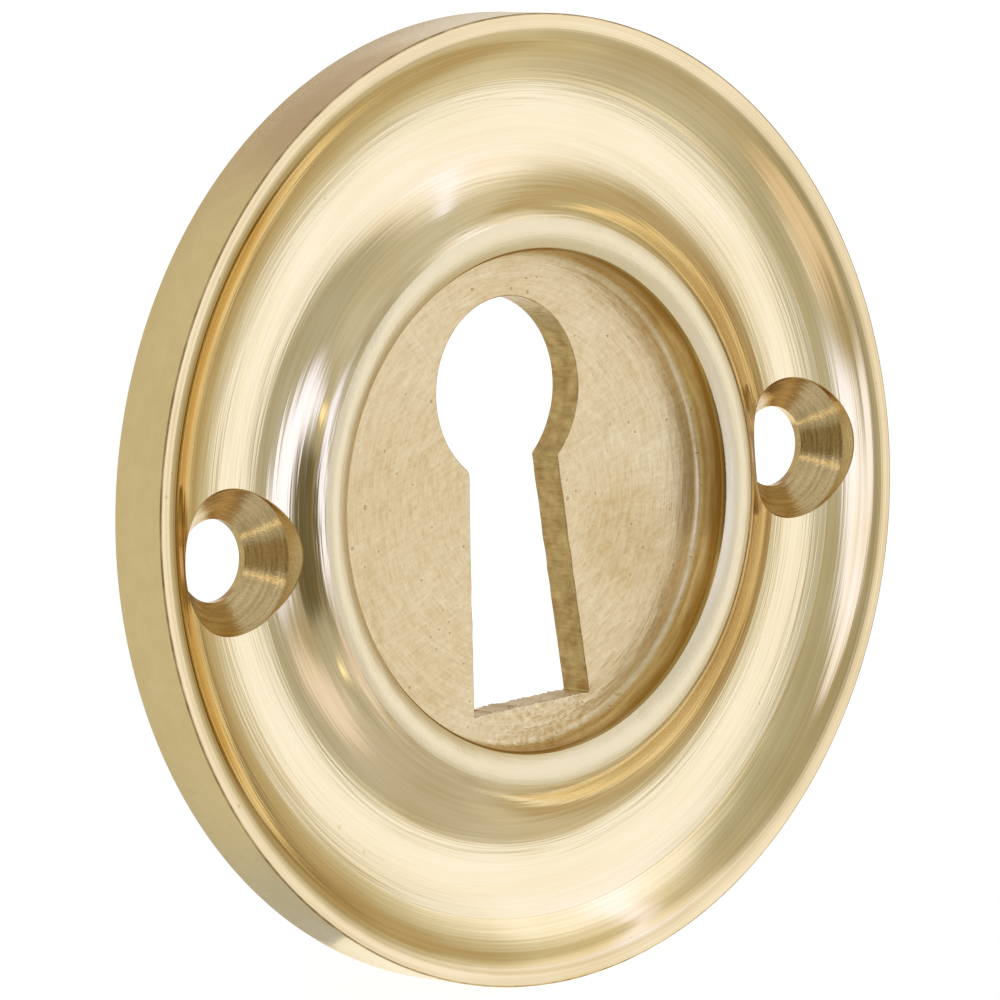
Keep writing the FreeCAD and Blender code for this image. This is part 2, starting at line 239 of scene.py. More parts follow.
def turned_section():
    """Return the section's runs from the floor's edge to the back's edge, as (name, points, normals).

    Each arc touches its neighbours, so its centre follows from theirs.
    """
    wall = WALL_RADIUS
    fillet_centre = np.array([wall - RECESS_FILLET, FLOOR_HEIGHT + RECESS_FILLET])
    bead_centre = np.array([wall + BEAD_SETBACK, BEAD_HEIGHT - BEAD_RADIUS])
    roll_side = BEAD_ROLL - BEAD_SETBACK
    roll_rise = math.sqrt((BEAD_RADIUS - BEAD_ROLL) ** 2 - roll_side ** 2)
    roll_centre = bead_centre + [roll_side, roll_rise]
    band_end = np.array([BAND_EDGE, BAND_INNER_HEIGHT])
    flank_centre = circles_meet(bead_centre, BEAD_RADIUS + FLANK_RADIUS, band_end, FLANK_RADIUS)
    cove_foot = np.array([band_end[0] + BAND_WIDTH, COVE_FOOT_HEIGHT])
    band_start = cove_foot - [0, STEP_DEPTH]
    band_centre = circles_meet(band_start, BAND_RADIUS, band_end, BAND_RADIUS)
    lip_centre = np.array([cove_foot[0] + COVE_WIDTH, RIM_HEIGHT - LIP_ROUND])
    cove_centre = circles_meet(lip_centre, LIP_ROUND + COVE_RADIUS, cove_foot, COVE_RADIUS)
    corner_centre = np.array([lip_centre[0] + LIP_FLAT, RIM_HEIGHT - RIM_ROUND])
    outer = corner_centre[0] + RIM_ROUND

    roll_top = bead_centre + (roll_centre - bead_centre) * (BEAD_RADIUS / (BEAD_RADIUS - BEAD_ROLL))
    shoulder = bead_centre + BEAD_RADIUS * np.array([math.sin(BUFFED_SLOPE), math.cos(BUFFED_SLOPE)])
    flank_top = bead_centre + (flank_centre - bead_centre) * (BEAD_RADIUS / (BEAD_RADIUS + FLANK_RADIUS))
    lip_edge = lip_centre + LIP_ROUND * np.array([-math.sin(RUBBED_SLOPE), math.cos(RUBBED_SLOPE)])
    cove_top = lip_centre + (cove_centre - lip_centre) * (LIP_ROUND / (LIP_ROUND + COVE_RADIUS))
    flank_rows = rows_between(flank_top[0], band_end[0])
    band_rows = rows_between(band_end[0], band_start[0])
    cove_rows = rows_between(cove_foot[0], cove_top[0])
    slope = math.sqrt(0.5)
    return [
        ("floor", *arc_rows(fillet_centre, (fillet_centre[0], FLOOR_HEIGHT), (wall, fillet_centre[1]), True)),
        ("recess", *line_rows((wall, fillet_centre[1]), (wall, roll_centre[1]), (-1, 0), 4)),
        ("recess", *arc_rows(roll_centre, (wall, roll_centre[1]), roll_top, False)),
        ("bead", *arc_rows(bead_centre, roll_top, shoulder, False)),
        ("shoulder", *arc_rows(bead_centre, shoulder, flank_top, False)),
        ("flank", *arc_rows(flank_centre, flank_top, band_end, True, flank_rows)),
        ("band", *arc_rows(band_centre, band_end, band_start, True, band_rows)),
        ("cove", *line_rows(band_start, cove_foot, (-1, 0))),
        ("cove", *arc_rows(cove_centre, cove_foot, cove_top, True, cove_rows)),
        ("cove", *arc_rows(lip_centre, cove_top, lip_edge, False)),
        ("lip", *arc_rows(lip_centre, lip_edge, (lip_centre[0], RIM_HEIGHT), False)),
        ("lip", *line_rows((lip_centre[0], RIM_HEIGHT), (corner_centre[0], RIM_HEIGHT), (0, 1), 2)),
        ("edge", *arc_rows(corner_centre, (corner_centre[0], RIM_HEIGHT), (outer, corner_centre[1]), False)),
        ("side", *line_rows((outer, corner_centre[1]), (outer, BACK_CHAMFER), (1, 0), 6)),
        ("side", *line_rows((outer, BACK_CHAMFER), (outer - BACK_CHAMFER, 0), (slope, -slope))),
    ]


def gap_angle(radius):
    """Half of the angle that a screw hole takes out of the ring of this radius."""
    cosine = (radius ** 2 + HOLE_POLAR ** 2 - HOLE_RIM ** 2) / (2 * radius * HOLE_POLAR)
    return np.arccos(np.clip(cosine, -1, 1))


class Shell:
    """Gathers grids and flat faces, then welds them into one closed mesh with smooth normals."""

    def __init__(self):
        self.points = []
        self.normals = []
        self.faces = []
        self.finishes = []
        self.total = 0

    def add(self, points, normals, faces, finish):
        """Take points and normals of shape (n, 3), and faces as rows of four point numbers."""
        self.points.append(points)
        self.normals.append(normals)
        self.faces.append(faces + self.total)
        self.finishes.append(np.full(len(faces), list(FINISHES).index(finish)))
        self.total += len(points)

    def grid(self, points, normals, finish):
        """Take a surface sampled on a grid of shape (rows, columns, 3)."""
        rows, columns = points.shape[:2]
        number = np.arange(rows * columns).reshape(rows, columns)
        faces = np.stack([number[:-1, :-1], number[1:, :-1], number[1:, 1:], number[:-1, 1:]], axis=-1)
        self.add(points.reshape(-1, 3), normals.reshape(-1, 3), faces.reshape(-1, 4), finish)

    def flat(self, loops, height, facing, finish):
        """Fill the flat region inside the first loop and outside the others, as triangles.

        Facing is -1 for a face that looks forward, along -Y, and 1 for one that looks back.
        """
        flat_points = np.concatenate(loops)
        edges, start = [], 0
        for loop in loops:
            number = np.arange(len(loop)) + start
            edges += list(zip(number.tolist(), np.roll(number, -1).tolist()))
            start += len(loop)
        whole_hull = 0
        _, _, triangles, sources, _, _ = delaunay_2d_cdt(
            [Vector(point) for point in flat_points], edges, [], whole_hull, FLAT_GAP)
        source = np.array([ids[0] for ids in sources])
        triangles = source[np.array(triangles)]
        middle = flat_points[triangles].mean(axis=1)
        keep = np.ones(len(triangles), bool)
        for loop in loops[1:]:
            keep &= ~inside(middle, loop)
        triangles = triangles[keep]
        faces = np.concatenate([triangles, triangles[:, -1:]], axis=1)
        points = place(flat_points[:, 0], flat_points[:, 1], np.full(len(flat_points), height))
        self.add(points, np.tile([0.0, facing, 0.0], (len(points), 1)), faces, finish)

    def mesh(self, name):
        """Weld equal points, drop what has no area, turn faces outwards and set the normals."""
        points = np.concatenate(self.points)
        normals = np.concatenate(self.normals)
        normals /= np.linalg.norm(normals, axis=1)[:, None]
        faces = np.concatenate(self.faces)
        finishes = np.concatenate(self.finishes)
        rounded = np.round(points, WELD_DIGITS)
        _, first, joined = np.unique(rounded, axis=0, return_index=True, return_inverse=True)
        welded = joined.reshape(-1)[faces]

        # A quad with two equal corners next to each other is a triangle
        alike = welded == np.roll(welded, -1, axis=1)
        sides = 4 - alike.sum(axis=1)
        keep = sides >= 3
        faces, welded, alike = faces[keep], welded[keep], alike[keep]
        sides, finishes = sides[keep], finishes[keep]

        # A face whose own normal points against its corners' normals is turned round
        diagonal_a = points[faces[:, 2]] - points[faces[:, 0]]
        diagonal_b = points[faces[:, 3]] - points[faces[:, 1]]
        across = np.cross(diagonal_a, diagonal_b)
        turned = (across * normals[faces].mean(axis=1)).sum(axis=1) < 0
        for table in (faces, welded, alike):
            table[turned] = table[turned][:, ::-1]
        alike[turned] = np.roll(alike[turned], -1, axis=1)

        used = ~alike
        mesh = bpy.data.meshes.new(name)
        mesh.vertices.add(len(first))
        mesh.vertices.foreach_set("co", (points[first] * MM).astype(np.float32).ravel())
        mesh.loops.add(int(used.sum()))
        mesh.loops.foreach_set("vertex_index", welded[used].astype(np.int32))
        mesh.polygons.add(len(faces))
        starts = np.concatenate([[0], np.cumsum(sides)[:-1]])
        mesh.polygons.foreach_set("loop_start", starts.astype(np.int32))
        mesh.polygons.foreach_set("material_index", finishes.astype(np.int32))
        mesh.update(calc_edges=True)
        mesh.validate()
        mesh.normals_split_custom_set(normals[faces[used]].astype(np.float32))
        return mesh


def place(x, z, height):
    """Put plan coordinates and a height above the back into the frame: (x, -height, z)."""
    return np.stack([x, -height, z], axis=-1)


def inside(points, loop):
    """Tell which points lie inside a closed loop, by counting the edges crossed to their right."""
    ahead = np.roll(loop, -1, axis=0)
    z = points[:, None, 1]
    spans = (loop[:, 1] > z) != (ahead[:, 1] > z)
    rise = np.where(ahead[:, 1] == loop[:, 1], 1, ahead[:, 1] - loop[:, 1])
    crossing = loop[:, 0] + (z - loop[:, 1]) * (ahead[:, 0] - loop[:, 0]) / rise
    return (spans & (points[:, None, 0] < crossing)).sum(axis=1) % 2 == 1


def turned_grid(points, normals, turn):
    """Turn section rows about the disc's axis.

    Point(i, j) = (r_i cos t, -h_i, r_i sin t) with t = turn(r_i, j), for the upper and lower half.
    """
    radius, height = points[:, :1], points[:, 1:]
    angle = turn(radius)
    grid = place(radius * np.cos(angle), radius * np.sin(angle), height + 0 * angle)
    lean, rise = normals[:, :1], normals[:, 1:]
    return grid, place(lean * np.cos(angle), lean * np.sin(angle), rise + 0 * angle)


def upper_turn(radius):
    """Angles from the right screw hole over the top to the left one."""
    share = np.linspace(0, 1, HALF_COLUMNS + 1)[None]
    begin = HOLE_TURN + gap_angle(radius)
    return begin + (math.pi - 2 * begin) * share


def lower_turn(radius):
    """Angles from the left screw hole round the bottom to the right one."""
    share = np.linspace(0, 1, HALF_COLUMNS + 1)[None]
    begin = math.pi - HOLE_TURN + gap_angle(radius)
    end = 2 * math.pi + HOLE_TURN - gap_angle(radius)
    return begin + (end - begin) * share


def section_height(section, radius):
    """Height and normal of the turned face at these radii, read off the runs over a screw hole."""
    runs = [(points, normals) for name, points, normals in section if name in HOLED_RUNS]
    points = np.concatenate([run[0] for run in runs])
    normals = np.concatenate([run[1] for run in runs])
    order = np.argsort(points[:, 0], kind="stable")
    points, normals = points[order], normals[order]
    return [np.interp(radius, points[:, 0], column) for column in (points[:, 1], *normals.T)]


def screw_hole(shell, section, side):
    """One countersunk hole: rings about its own axis.

    Point = centre + R(s) (cos t, sin t) at height H(s, t); the top ring lies on the turned face.
    """
    radii = hole_radii()
    reach_cos = (radii ** 2 - HOLE_POLAR ** 2 - HOLE_RIM ** 2) / (2 * HOLE_POLAR * HOLE_RIM)
    spoke = np.arccos(np.clip(reach_cos, -1, 1))
    radii = np.concatenate([radii, radii[-2:0:-1], radii[:1]])
    spoke = np.concatenate([spoke, -spoke[-2:0:-1], spoke[:1]])
    turn = HOLE_TURN if side > 0 else math.pi - HOLE_TURN
    direction = turn + spoke
    ray = np.stack([np.cos(direction), np.sin(direction)])
    centre = np.array([side * SCREW_REACH, -SCREW_DROP])
    finish = "right_hole" if side > 0 else "left_hole"
    top, lean, rise = section_height(section, radii)
    plan = centre[:, None] + HOLE_RIM * ray
    away = plan / np.hypot(*plan)
    face_normal = place(lean * away[0], lean * away[1], rise)
    wall_normal = place(-ray[0], -ray[1], 0 * ray[0])

    up = place(0 * ray[0], 0 * ray[0], 1 + 0 * ray[0])

    def ring(radius, height):
        return place(centre[0] + radius * ray[0], centre[1] + radius * ray[1], height + 0 * ray[0])

    def skin(stops, normal):
        """Lay a surface over rings of these radii and heights, which all have this normal."""
        rings = np.stack([ring(radius, height) for radius, height in stops])
        shell.grid(rings, np.tile(normal, (len(stops), 1, 1)), finish)

    # The worn edge: a quarter round from the turned face into the clearance wall
    edge = np.stack([ring(HOLE_RIM - HOLE_EDGE * math.sin(b), top - HOLE_EDGE * (1 - math.cos(b)))
                     for b in WORN_BEND])
    edge_normal = np.stack([math.cos(b) * face_normal + math.sin(b) * wall_normal for b in WORN_BEND])
    shell.grid(edge, edge_normal, finish)

    # The clearance wall down to the seat, the countersink, and the bore with its small back chamfer
    below = top - HOLE_EDGE
    skin([(HEAD_RADIUS, below + (SEAT_HEIGHT - below) * s) for s in np.linspace(0, 1, CLEARANCE_ROWS)],
         wall_normal)
    sink = HEAD_RADIUS - BORE_RADIUS
    skin([(HEAD_RADIUS - sink * s, SEAT_HEIGHT - sink * s) for s in np.linspace(0, 1, CONE_ROWS)],
         wall_normal + up)
    land = SEAT_HEIGHT - sink
    skin([(BORE_RADIUS, land + (BORE_CHAMFER - land) * s) for s in np.linspace(0, 1, BORE_ROWS)], wall_normal)
    back_radius = BORE_RADIUS + BORE_CHAMFER
    skin([(BORE_RADIUS, BORE_CHAMFER), (back_radius, 0)], wall_normal - up)
    return centre + back_radius * ray.T[:-1]


def keyhole_outline():
    """Return the keyhole's outline as plan points and normals that point into the hole.

    Right half from the foot's middle to the bow's top: the foot, a corner round, the slot's side,
    the neck round and the bow, each an arc or a line that touches the next. The left half mirrors it.
    """
    foot = SLOT_FOOT_WIDTH / 2
    depth = KEYHOLE_HEIGHT / 2 + KEYHOLE_DROP
    bow_centre = np.array([0, KEYHOLE_HEIGHT / 2 - KEYHOLE_DROP - BOW_RADIUS])
    corner = np.array([foot, -depth])
    up_slot = np.array([-math.sin(SLOT_FLARE), math.cos(SLOT_FLARE)])
    out_of_slot = np.array([math.cos(SLOT_FLARE), math.sin(SLOT_FLARE)])
    rail = corner + out_of_slot * NECK_ROUND - bow_centre
    drop = rail @ up_slot
    travel = -drop - math.sqrt(drop ** 2 - rail @ rail + (BOW_RADIUS + NECK_ROUND) ** 2)
    neck_centre = bow_centre + rail + up_slot * travel
    slot_top = neck_centre - out_of_slot * NECK_ROUND
    bow_end = bow_centre + (neck_centre - bow_centre) * (BOW_RADIUS / (BOW_RADIUS + NECK_ROUND))

    # The corner's round touches the foot and the slot's side
    half_angle = (math.pi / 2 + SLOT_FLARE) / 2
    run = SLOT_CORNER / math.tan(half_angle)
    corner_centre = corner + [-run, SLOT_CORNER]
    corner_start = corner - [run, 0]
    corner_end = corner + up_slot * run

    runs = [
        line_rows((0, -depth), corner_start, (0, 1), FOOT_COLUMNS),
        arc_rows(corner_centre, corner_start, corner_end, True, count=CORNER_COLUMNS),
        line_rows(corner_end, slot_top, -out_of_slot, SLOT_COLUMNS),
        arc_rows(neck_centre, slot_top, bow_end, False, count=NECK_COLUMNS),
        arc_rows(bow_centre, bow_end, bow_centre + [0, BOW_RADIUS], True, count=BOW_COLUMNS),
    ]
    points = np.concatenate([run[0][:-1] for run in runs] + [runs[-1][0][-1:]])
    normals = np.concatenate([run[1][:-1] for run in runs] + [runs[-1][1][-1:]])
    flip = np.array([-1, 1])
    return (np.concatenate([points, (points * flip)[-2:0:-1]]),
            np.concatenate([normals, (normals * flip)[-2:0:-1]]))


def keyhole_roughness(outline):
    """How far each point of the outline stands into the hole: smoothed noise, largest at the foot."""
    noise = np.random.default_rng(ROUGH_SEED).normal(size=(2, len(outline)))
    fine = (noise[0] + np.roll(noise[0], 1)) / 2
    kernel = np.hanning(BROAD_POINTS) / np.hanning(BROAD_POINTS).sum()
    wrap = BROAD_POINTS // 2
    broad = np.convolve(np.concatenate([noise[1][-wrap:], noise[1], noise[1][:wrap]]), kernel, "valid")
    burr = np.clip((SLOT_FOOT_WIDTH / 2 - BURR_END - np.abs(outline[:, 0])) / BURR_FADE, 0, 1)
    burr = burr * (outline[:, 1] < -KEYHOLE_HEIGHT / 2)
    sawn = np.clip(2 - np.abs(outline[:, 1] - SAWN_HEIGHT) / SAWN_REACH, 0, 1) * (1 - burr)
    return np.abs(fine) * burr * FOOT_BURR + broad * sawn * SAW_MARK


def keyhole_wall(shell):
    """Wall of the keyhole: the outline carried from the floor to the back, its edges worn round."""
    outline, inward = keyhole_outline()
    rough = keyhole_roughness(outline)
    outline = outline + inward * rough[:, None]
    closed = np.concatenate([outline, outline[:1]])
    inward = np.concatenate([inward, inward[:1]])
    wall_normal = place(inward[:, 0], inward[:, 1], 0 * inward[:, 0])

    def ring(offset, height):
        spot = closed - inward * offset
        return place(spot[:, 0], spot[:, 1], height + 0 * spot[:, 0])

    def skin(points, normals):
        """Lay a surface over rings; the columns at both ends of the outline are the foot."""
        end = FOOT_COLUMNS
        shell.grid(points[:, :end + 1], normals[:, :end + 1], "foot")
        shell.grid(points[:, end:-end], normals[:, end:-end], "keyhole")
        shell.grid(points[:, -end - 1:], normals[:, -end - 1:], "foot")

    up = np.array([0, -1.0, 0])
    front = np.stack([ring(KEYHOLE_EDGE * (1 - math.sin(b)), FLOOR_HEIGHT - KEYHOLE_EDGE * (1 - math.cos(b)))
                      for b in WORN_BEND])
    skin(front, np.stack([math.cos(b) * up + math.sin(b) * wall_normal for b in WORN_BEND]))
    heights = np.linspace(FLOOR_HEIGHT - KEYHOLE_EDGE, KEYHOLE_EDGE, KEYHOLE_ROWS)
    wall = np.stack([ring(0, height) for height in heights])
    skin(wall, np.tile(wall_normal, (len(heights), 1, 1)))
    back = np.stack([ring(KEYHOLE_EDGE * (1 - math.cos(b)), KEYHOLE_EDGE * (1 - math.sin(b)))
                     for b in WORN_BEND])
    skin(back, np.stack([math.cos(b) * wall_normal - math.sin(b) * up for b in WORN_BEND]))
    return [np.stack([row[:-1, 0], row[:-1, 2]], axis=1) for row in (front[0], back[-1])]


def make_escutcheon():
    """Build the whole turned, drilled and pierced disc as one closed surface."""
    shell = Shell()
    section = turned_section()
    for finish, points, normals in section:
        for turn in (upper_turn, lower_turn):
            shell.grid(*turned_grid(points, normals, turn), finish)
    bores = [screw_hole(shell, section, side) for side in (1, -1)]
    front_keyhole, back_keyhole = keyhole_wall(shell)

    def circle(radius):
        """The turned rings' own points at this radius, in plan."""
        angles = np.concatenate([turn(np.array([[radius]]))[0, :-1] for turn in (upper_turn, lower_turn)])
        return radius * np.stack([np.cos(angles), np.sin(angles)], axis=1)

    floor_points, back_points = section[0][1], section[-1][1]
    shell.flat([circle(floor_points[0, 0]), front_keyhole], FLOOR_HEIGHT, -1, "floor")
    shell.flat([circle(back_points[-1, 0]), back_keyhole, *bores], 0, 1, "back")
    piece = bpy.data.objects.new("escutcheon", shell.mesh("escutcheon"))
    bpy.context.scene.collection.objects.link(piece)
    return piece


# Finishes


class Value:
    """A shader socket that works in Python sums: each sum adds a Math node."""

    def __init__(self, nodes, socket):
        self.nodes = nodes
        self.socket = socket

    def math(self, operation, *terms):
        """Add a Math node with this operation on these terms."""
        node = self.nodes.add("ShaderNodeMath", {"operation": operation}, dict(enumerate(terms)))
        return self.nodes.value(node, 0)

    def __add__(self, other):
        return self.math("ADD", self, other)

    def __radd__(self, other):
        return self.math("ADD", other, self)

    def __sub__(self, other):
        return self.math("SUBTRACT", self, other)

    def __rsub__(self, other):
        return self.math("SUBTRACT", other, self)

    def __mul__(self, other):
        return self.math("MULTIPLY", self, other)

    def __rmul__(self, other):
        return self.math("MULTIPLY", other, self)

    def __truediv__(self, other):
        return self.math("DIVIDE", self, other)

    def __rtruediv__(self, other):
        return self.math("DIVIDE", other, self)

    def rise(self, low, high):
        """Go smoothly from 0 to 1 while the value goes from low to high."""
        node = self.nodes.add("ShaderNodeMapRange", {"interpolation_type": "SMOOTHSTEP"},
                              {"Value": self, "From Min": low, "From Max": high})
        return self.nodes.value(node, "Result")


class Nodes:
    """The node tree of one material or of the world."""

    def __init__(self, tree):
        self.tree = tree
        tree.nodes.clear()

    def add(self, kind, settings=None, sockets=None):
        """Add a node: its settings or its ramp's stops first, then the values or links of its sockets."""
        node = self.tree.nodes.new(kind)
        for name, value in (settings or {}).items():
            if name == "stops":
                set_stops(node.color_ramp, value)
            else:
                setattr(node, name, value)
        for name, value in (sockets or {}).items():
            slot = node.inputs[name]
            source = value.socket if isinstance(value, Value) else value
            if isinstance(source, bpy.types.NodeSocket):
                self.tree.links.new(source, slot)
            else:
                slot.default_value = source
        return node

    def value(self, node, name):
        """Return a node's output as a value that works in sums."""
        return Value(self, node.outputs[name])

    def noise(self, vector, scale, detail):
        """Smooth noise from 0 to 1 over this vector."""
        node = self.add("ShaderNodeTexNoise", {"noise_dimensions": "3D"},
                        {"Vector": vector, "Scale": scale, "Detail": detail, "Roughness": 0.55})
        return self.value(node, "Fac")

    def ramp(self, share, low, high, blur):
        """Be 1 between low and high and 0 outside, with soft edges, in shares of the ramp's length."""
        stops = [(low - blur, 0), (low + blur, 1), (high - blur, 1), (high + blur, 0)]
        node = self.add("ShaderNodeValToRGB", {"stops": stops}, {"Fac": share})
        return self.value(node, "Alpha")

    def vector(self, x, y, z):
        """Join three values into a vector."""
        return self.add("ShaderNodeCombineXYZ", None, {"X": x, "Y": y, "Z": z}).outputs[0]

    def blend(self, share, first, second):
        """Mix two colours: the first where share is 0, the second where it is 1."""
        node = self.add("ShaderNodeMix", {"data_type": "RGBA"}, {0: share, 6: first, 7: second})
        return node.outputs[2]


def set_stops(ramp, stops):
    """Give a ramp eased stops, each a spot and a level, in place of its own two. Some may lie outside it."""
    ramp.interpolation = "EASE"
    for spot, level in stops:
        if 0 < spot < 1:
            ramp.elements.new(spot).color = (level, level, level, level)
    ramp.elements.remove(ramp.elements[0])
    ramp.elements.remove(ramp.elements[-1])


def new_material(name):
    """Make an empty node material."""
    material = bpy.data.materials.new(name)
    material.use_nodes = True
    return material, Nodes(material.node_tree)


# The clouds in every finish: their size, how much they change the tone and the roughness, and between
# which values of theirs the chatter fades in
CLOUD_SIZE = 6.25
CLOUD_TONE = 0.6
CLOUD_ROUGHNESS = 0.05
CHATTER_CLOUDS = (0.48, 0.62)

# A mark at a place keeps its full strength up to this share of its reach, a speck's edge is this soft,
# and no finish is smoother than the last of these
MARK_CORE = 0.4
SPECK_EDGE = 0.06
LEAST_ROUGHNESS = 0.03


class Metal:
    """Worked brass: what marks the surface adds to its height, its tone and its roughness.

    Sizes and depths are in millimetres. The tone goes from 0, the deep colour, to 1, the pale one.
    """

    def __init__(self, name, colours, roughness, lift=0.0, centre=(0, 0)):
        self.material, self.nodes = new_material(name)
        self.pale, self.deep = [(*colour, 1) for colour in colours]
        coordinates = self.nodes.add("ShaderNodeTexCoord")
        self.spot = coordinates.outputs["Object"]
        split = self.nodes.add("ShaderNodeSeparateXYZ", None, {"Vector": self.spot})
        self.x, self.depth, self.z = [self.nodes.value(split, axis) / MM for axis in "XYZ"]
        self.along = self.x - centre[0]
        self.up = self.z - centre[1]
        self.radius = self.x.math("SQRT", self.along * self.along + self.up * self.up)
        self.cloud = self.nodes.noise(self.spot, 1 / (CLOUD_SIZE * MM), 1.0)
        self.height = 0.0
        self.tone = (self.cloud - 0.5) * CLOUD_TONE + (0.5 + lift)
        self.roughness = (self.cloud - 0.5) * CLOUD_ROUGHNESS + roughness

    def mark(self, field, depth=0.0, tone=0.0, spread=0.0):
        """Let a field of marks change the height, the tone and the roughness."""
        if depth:
            self.height = self.height + field * depth
        if tone:
            self.tone = self.tone + field * tone
        if spread:
            self.roughness = self.roughness + field * spread

    def near(self, x, z, reach):
        """Be 1 at a place on the plate and fade to 0 at this distance from it."""
        away = self.x.math("SQRT", (self.x - x) * (self.x - x) + (self.z - z) * (self.z - z))
        return 1 - away.rise(reach * MARK_CORE, reach)

    def rings(self, pitch, depth, wander=1.5, tone=0.0, spread=0.0):
        """Lathe lines: noise over the distance from the axis that changes slowly round the ring."""
        place_on_ring = self.nodes.vector(self.radius / pitch, self.along / self.radius * wander,
                                          self.up / self.radius * wander)
        self.mark(self.nodes.noise(place_on_ring, 1.0, 1.0) - 0.5, depth, tone, spread)

    def waves(self, size, depth):
        """Gentle unevenness left by the polishing wheel."""
        self.mark(self.nodes.noise(self.spot, 1 / (size * MM), 0.0) - 0.5, depth)

    def grain(self, size, depth, tone, where=1.0):
        """Fine pitting of a surface that isn't polished."""
        self.mark((self.nodes.noise(self.spot, 1 / (size * MM), 2.0) - 0.5) * where, depth, tone)

    def strokes(self, angle, length, width, depth, tone):
        """Straight tool marks: noise stretched along one direction in the plate's plane."""
        turned = self.nodes.add("ShaderNodeMapping", {"vector_type": "POINT"},
                                {"Vector": self.spot, "Rotation": (0, math.radians(angle), 0)})
        scale = (1 / (length * MM), 1 / (length * MM), 1 / (width * MM))
        scaled = self.nodes.add("ShaderNodeMapping", {"vector_type": "POINT"},
                                {"Vector": turned.outputs[0], "Scale": scale})
        self.mark(self.nodes.noise(scaled.outputs[0], 1.0, 1.0) - 0.5, depth, tone)

    def chatter(self, count, length, depth, tone):
        """Short streaks that point at the axis, where the cutter shook: noise round the ring."""
        turn = self.up.math("ARCTAN2", self.up, self.along)
        streak = self.nodes.noise(self.nodes.vector(turn * count, self.radius / length, 0.0), 1.0, 1.0)
        self.mark((streak - 0.5) * self.cloud.rise(*CHATTER_CLOUDS), depth, tone)

    def specks(self, size, share, depth, tone):
        """Small dark pits where the noise is highest."""
        field = self.nodes.noise(self.spot, 1 / (size * MM), 0.0)
        self.mark(field.rise(1 - share, 1 - share + SPECK_EDGE), depth, tone)

    def nicks(self, places, depth, tone):
        """Small single marks, each given by its place on the plate and its reach."""
        for place_and_reach in places:
            self.mark(self.near(*place_and_reach), depth, tone)

    def finish(self):
        """Connect everything to the shader and return the material."""
        tone = self.tone.math("MINIMUM", self.tone.math("MAXIMUM", self.tone, 0.0), 1.0)
        bump = self.nodes.add("ShaderNodeBump", None,
                              {"Strength": 1.0, "Distance": MM, "Height": self.height})
        shader = self.nodes.add("ShaderNodeBsdfPrincipled", None, {
            "Metallic": 1.0,
            "Base Color": self.nodes.blend(tone, self.deep, self.pale),
            "Roughness": self.roughness.math("MAXIMUM", self.roughness, LEAST_ROUGHNESS),
            "Normal": bump.outputs[0],
        })
        self.nodes.add("ShaderNodeOutputMaterial", None, {"Surface": shader.outputs[0]})
        return self.material


# Nicks in the polished face: place across and up from the disc's axis, and reach
LIP_NICKS = [(-21.9, 3.6, 0.112), (-21.4, 4.6, 0.084), (-19.2, -10.9, 0.112), (-17.8, 12.8, 0.084)]
BAND_NICKS = [
    (6.4, 19.2, 0.098),
    (-10.2, 15.4, 0.084),
    (-12.3, -13.2, 0.14),
    (-11.0, -14.6, 0.098),
    (14.0, -12.0, 0.07),
]

# Painted shade on the recess's wall: it is darkest under the bead and palest at its foot, from and to this
# depth, and by how much
WALL_SHADE_DEPTHS = (-3.3, -2.3)
WALL_SHADE_FADE = 0.7

# The cove's steep outer part, painted darker and deeper orange as a painted reflection of the brass around
# it: from and to this radius; the place and reach where the painted reflection is strongest; and how much
# darker the steep part is painted there and elsewhere
COVE_STEEP = (20.2, 21.1)
COVE_PAINTED_REFLECTION = (-19.5, 4.0, 17.0)
COVE_REFLECTION_DARKENING = 1.3
COVE_STEEP_DARKENING = 0.25

# Painted shade on the flank and the bead's shoulder, which dims their bright reflection towards the lower
# right: place and reach, and how much darker it is
FLANK_PAINTED_SHADE = (14.5, -3.0, 16.0)
FLANK_SHADE_DARKENING = 0.4

# Patches of the recess's floor: place and reach; how much darker the stain is; and how strong the
# floor's grain is all over and in the scour
STAIN = (6.4, -2.6, 3.4)
STAINED = 0.5
SCOUR = (0.6, -10.2, 4.5)
FLOOR_GRAIN = 0.35
SCOUR_GRAIN = 0.8

# A pale and a deep colour for each way of working the brass
# The deep colours of the cove, the flank and the recess's wall also serve as painted reflection and painted
# shade; the edge's colours are a painted dark reflection
POLISHED = ((0.95, 0.79, 0.44), (0.60, 0.37, 0.06))
RUBBED = ((0.90, 0.75, 0.42), (0.66, 0.49, 0.22))
EDGE_DARK_REFLECTION = ((0.80, 0.62, 0.32), (0.30, 0.19, 0.07))
SATIN = ((1.0, 0.87, 0.55), (0.86, 0.69, 0.36))
TURNED = ((0.98, 0.83, 0.50), (0.66, 0.46, 0.17))
BUFFED = ((1.0, 0.87, 0.54), (0.97, 0.80, 0.47))
FACED = ((1.0, 0.86, 0.52), (0.70, 0.50, 0.21))
DRILLED = ((0.92, 0.72, 0.38), (0.48, 0.33, 0.14))
FILED = ((0.84, 0.64, 0.31), (0.44, 0.29, 0.11))
CRUMBLED = ((1.0, 0.86, 0.58), (0.44, 0.30, 0.14))
DULL = ((1.0, 0.87, 0.55), (0.48, 0.30, 0.08))
MILLED = ((0.98, 0.83, 0.50), (0.88, 0.71, 0.38))


def edge_dark_reflection_brass():
    """The corner outside the lip: a painted dark reflection, broken by random paler spots."""
    # Painted reflection: the corner is coloured dark where it mirrors something dark
    metal = Metal("edge_dark_reflection_brass", EDGE_DARK_REFLECTION, roughness=0.34)
    metal.grain(size=0.9, depth=0.008, tone=1.6)
    return metal.finish()


def lip_brass():
    """The polished lip, with small nicks in its edge."""
    metal = Metal("lip_brass", RUBBED, roughness=0.14)
    metal.rings(pitch=0.16, depth=0.008, wander=0.8, tone=1.4)
    metal.waves(size=1.6, depth=0.015)
    metal.specks(size=0.22, share=0.15, depth=-0.004, tone=-0.9)
    metal.nicks(LIP_NICKS, depth=-0.004, tone=-2.0)
    return metal.finish()


